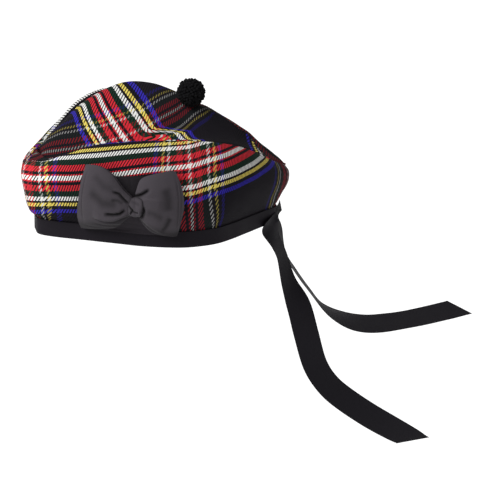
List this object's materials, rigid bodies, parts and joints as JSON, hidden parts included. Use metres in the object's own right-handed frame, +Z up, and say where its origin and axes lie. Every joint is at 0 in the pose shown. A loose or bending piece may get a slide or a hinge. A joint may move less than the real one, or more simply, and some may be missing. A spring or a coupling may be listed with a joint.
{
  "type": "glengarry",
  "caption": "Boat-shaped tartan cap that creases along its crown, with a ribbon-bound edge, a bow on the left side, a yarn pompom on top and ribbon tails hanging at the back.",
  "frame": {"origin": "middle of the head opening, in the plane of the band's lower edge", "axes": "+Z up out of the crown, -X to the front of the cap, +X to the back where the tails hang, -Y to the wearer's left where the bow is"},
  "size_m": [0.4306, 0.176, 0.3582],
  "materials": {
    "tartan": "woven wool twill in a red, green, blue, yellow and white check",
    "binding_ribbon": "black ribbed ribbon",
    "bow_ribbon": "charcoal satin ribbon",
    "pompom_yarn": "black wool yarn"
  },
  "bodies": {
    "root": {"side_panel_left": "tartan", "side_panel_right": "tartan", "crown_top": "tartan", "headband": "binding_ribbon", "bow_base": "bow_ribbon", "bow_loop_front": "bow_ribbon", "bow_loop_back": "bow_ribbon", "bow_knot": "bow_ribbon", "toorie": "pompom_yarn", "tail_lower": "binding_ribbon", "tail_upper": "binding_ribbon"}
  },
  "joints": []
}
